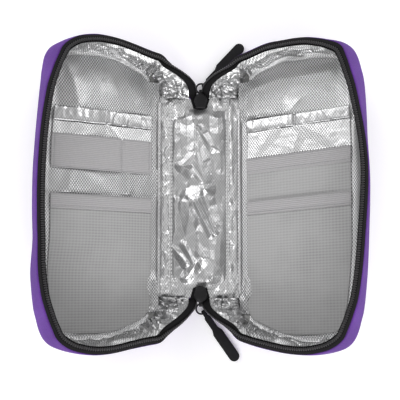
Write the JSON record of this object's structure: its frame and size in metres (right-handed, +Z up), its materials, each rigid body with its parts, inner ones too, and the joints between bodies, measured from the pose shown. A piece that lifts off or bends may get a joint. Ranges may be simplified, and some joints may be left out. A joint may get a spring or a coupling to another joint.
{
  "type": "insulin cooling case",
  "caption": "Soft zipped travel case that opens like a book on a flat spine, with foil-lined insulated trays, mesh pockets, an elastic band and two zip sliders.",
  "frame": {"origin": "centre of the spine's flat outer face, on which the open case rests", "axes": "+Z up, out of the open case; +Y along the spine to the top end; +X across to the right half"},
  "size_m": [0.2188, 0.223, 0.064],
  "materials": {
    "purple_fabric": "woven oxford cloth, matt",
    "foam": "closed-cell foam sheet",
    "foil": "embossed aluminised film, crinkled and bright",
    "zip_tape": "black woven tape",
    "zip_coil": "black nylon coil",
    "grey_band": "grey woven elastic",
    "grey_mesh": "fine grey mesh",
    "slider_metal": "black lacquer",
    "pull_rubber": "black soft rubber"
  },
  "bodies": {
    "spine": {"spine_outer_cover": "purple_fabric", "spine_foam": "foam", "spine_foil_lining": "foil", "spine_foil_gusset": "foil", "left_hinge_fold": "purple_fabric", "left_seam_binding": "foil", "right_hinge_fold": "purple_fabric", "right_seam_binding": "foil", "left_top_corner_cover": "purple_fabric", "left_top_corner_foam": "foam", "left_top_corner_lining": "foil", "left_top_corner_zip_tape": "zip_tape", "left_bottom_corner_cover": "purple_fabric", "left_bottom_corner_foam": "foam", "left_bottom_corner_lining": "foil", "left_bottom_corner_zip_tape": "zip_tape", "right_top_corner_cover": "purple_fabric", "right_top_corner_foam": "foam", "right_top_corner_lining": "foil", "right_top_corner_zip_tape": "zip_tape", "right_bottom_corner_cover": "purple_fabric", "right_bottom_corner_foam": "foam", "right_bottom_corner_lining": "foil", "right_bottom_corner_zip_tape": "zip_tape"},
    "left_half": {"left_outer_cover": "purple_fabric", "left_foam_core": "foam", "left_foil_lining": "foil", "left_zip_tape": "zip_tape", "left_zip_coil": "zip_coil", "left_foil_pocket": "foil", "left_foil_pocket_hem": "foil", "left_elastic_band": "grey_band", "left_mesh_pocket": "grey_mesh", "left_mesh_pocket_hem": "grey_band"},
    "right_half": {"right_outer_cover": "purple_fabric", "right_foam_core": "foam", "right_foil_lining": "foil", "right_zip_tape": "zip_tape", "right_zip_coil": "zip_coil", "right_foil_pocket": "foil", "right_foil_pocket_hem": "foil", "right_rear_mesh_pocket": "grey_mesh", "right_rear_mesh_hem": "grey_band", "right_front_mesh_pocket": "grey_mesh", "right_front_mesh_hem": "grey_band"},
    "top_slider": {"top_slider": "slider_metal"},
    "top_pull_ring": {"top_pull_ring": "slider_metal"},
    "top_pull_tab": {"top_pull_tab": "pull_rubber"},
    "bottom_slider": {"bottom_slider": "slider_metal"},
    "bottom_pull_ring": {"bottom_pull_ring": "slider_metal"},
    "bottom_pull_tab": {"bottom_pull_tab": "pull_rubber"}
  },
  "joints": [
    {"name": "left_hinge", "type": "hinge", "parent": "spine", "child": "left_half", "pos_m": [-0.028, 0, 0.0045], "axis": [0, 1, 0], "range_deg": [-24, 66], "deforming": ["left_hinge_fold", "left_top_corner_cover", "left_top_corner_foam", "left_top_corner_lining", "left_top_corner_zip_tape", "left_bottom_corner_cover", "left_bottom_corner_foam", "left_bottom_corner_lining", "left_bottom_corner_zip_tape"]},
    {"name": "right_hinge", "type": "hinge", "parent": "spine", "child": "right_half", "pos_m": [0.028, 0, 0.0045], "axis": [0, -1, 0], "range_deg": [-24, 66], "deforming": ["right_hinge_fold", "right_top_corner_cover", "right_top_corner_foam", "right_top_corner_lining", "right_top_corner_zip_tape", "right_bottom_corner_cover", "right_bottom_corner_foam", "right_bottom_corner_lining", "right_bottom_corner_zip_tape"]},
    {"name": "top_slider_run", "type": "slide", "parent": "spine", "child": "top_slider", "axis": [0, 1, 0], "range_m": [0, 0.006]},
    {"name": "top_ring_swing", "type": "hinge", "parent": "top_slider", "child": "top_pull_ring", "pos_m": [0.001, 0.0738, 0.00285], "axis": [0.9903, -0.1392, 0], "range_deg": [-1, 35]},
    {"name": "top_pull_swivel", "type": "hinge", "parent": "top_pull_ring", "child": "top_pull_tab", "pos_m": [0.0015, 0.07733, 0.0024], "axis": [0, 0, 1], "range_deg": [-8, 48]},
    {"name": "bottom_slider_run", "type": "slide", "parent": "spine", "child": "bottom_slider", "axis": [0, -1, 0], "range_m": [0, 0.006]},
    {"name": "bottom_ring_swing", "type": "hinge", "parent": "bottom_slider", "child": "bottom_pull_ring", "pos_m": [0.001, -0.0738, 0.00285], "axis": [-0.9903, -0.1392, 0], "range_deg": [-1, 35]},
    {"name": "bottom_pull_swivel", "type": "hinge", "parent": "bottom_pull_ring", "child": "bottom_pull_tab", "pos_m": [0.0015, -0.07733, 0.0024], "axis": [0, 0, -1], "range_deg": [-8, 42]}
  ]
}
